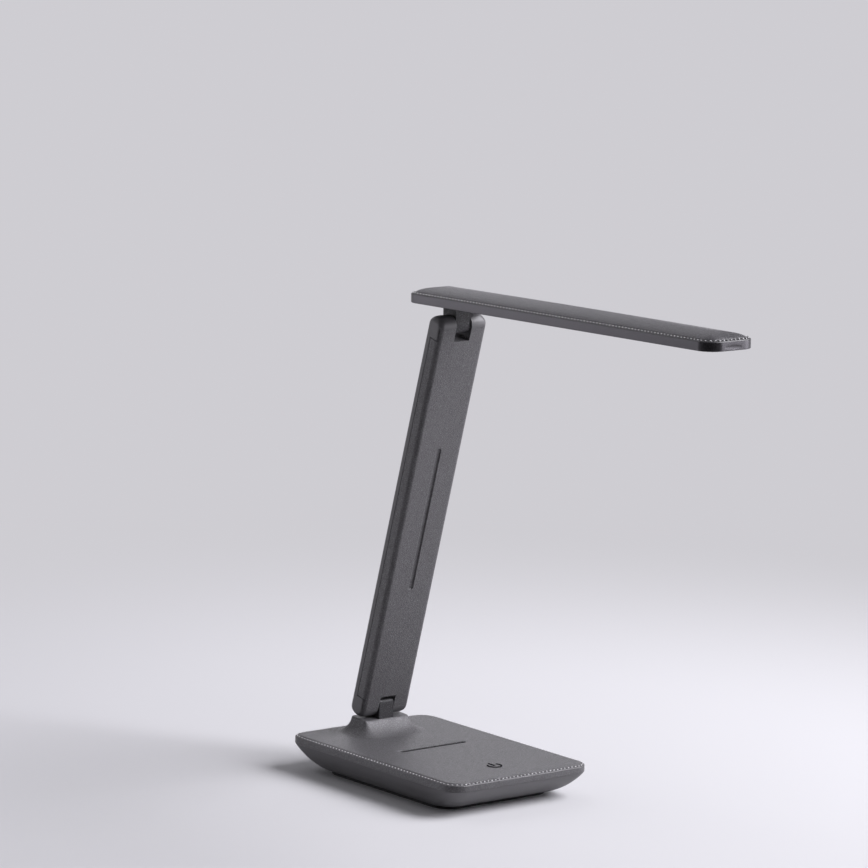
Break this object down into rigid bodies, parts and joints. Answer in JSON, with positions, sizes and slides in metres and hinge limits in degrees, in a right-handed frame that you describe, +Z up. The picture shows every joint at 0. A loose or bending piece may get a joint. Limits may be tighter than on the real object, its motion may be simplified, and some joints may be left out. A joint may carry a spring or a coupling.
{
  "type": "table lamp",
  "caption": "Folding rechargeable LED desk lamp: weighted base with touch key, hinged flat arm, and a padded light bar that tilts and swivels.",
  "frame": {"origin": "centre of the foot pad's lower face, on the table", "axes": "+Z up, the light bar reaches towards -Y, the hinge axes lie along X"},
  "size_m": [0.1034, 0.3164, 0.2959],
  "materials": {
    "plastic_cover": "moulded leather grain, satin",
    "plastic_smooth": "fine satin",
    "pad_skin": "grained imitation leather",
    "rubber": "matt rubber",
    "steel": "zinc plated",
    "ballast": "raw plate",
    "cell_wrap": "foil pouch",
    "foam": "closed-cell foam",
    "board": "solder mask",
    "sensor_foil": "copper foil",
    "sign_ink": "dark inlay",
    "light_pipe": "clear frosted",
    "lead": "insulated wire",
    "base_lead": "insulated wire",
    "knuckle": "satin coat",
    "spring_steel": "spring steel",
    "diffuser": "opal",
    "guide": "clear acrylic",
    "reflector": "white film",
    "strip": "white board",
    "led": "phosphor"
  },
  "bodies": {
    "base": {"base_top_cover": "plastic_cover", "base_bottom_shell": "plastic_smooth", "foot_pad": "rubber", "ballast_plate": "ballast", "ballast_screws": "steel", "battery_cell": "cell_wrap", "cell_foam": "foam", "control_board": "board", "charging_socket": "steel", "charge_light_pipe": "light_pipe", "touch_sensor": "sensor_foil", "power_sign": "sign_ink", "base_knuckle": "knuckle", "knuckle_screws": "steel", "base_screws": "steel", "base_wires": "base_lead"},
    "arm": {"arm_front_cover": "plastic_cover", "arm_rear_shell": "plastic_smooth", "arm_spine": "steel", "spine_screws_set": "steel", "lower_hinge_pin": "steel", "lower_hinge_washers": "spring_steel", "lower_hinge_nut": "steel", "upper_hinge_pin": "steel", "upper_hinge_washers": "spring_steel", "upper_hinge_nut": "steel", "arm_wire": "lead"},
    "hub": {"hub_knuckle": "knuckle", "wave_washer": "spring_steel", "swivel_nut": "steel"},
    "head": {"head_bottom_cover": "plastic_smooth", "head_top_shell": "plastic_smooth", "head_pad": "pad_skin", "diffuser": "diffuser", "light_guide": "guide", "reflector": "reflector", "led_strips": "strip", "leds": "led", "bearing_plate": "steel", "head_screws": "steel", "head_wire": "lead"}
  },
  "joints": [
    {"name": "arm_fold", "type": "hinge", "parent": "base", "child": "arm", "pos_m": [0, 0.0557, 0.0356], "axis": [1, 0, 0], "range_deg": [-24.4, 75.6]},
    {"name": "head_tilt", "type": "hinge", "parent": "arm", "child": "hub", "pos_m": [0, -0.00399, 0.26806], "axis": [1, 0, 0], "range_deg": [-73.8, 106.2]},
    {"name": "head_swivel", "type": "hinge", "parent": "hub", "child": "head", "pos_m": [0, -0.00399, 0.26806], "axis": [0, 0.0314, 0.9995], "range_deg": [-180, 180]}
  ]
}
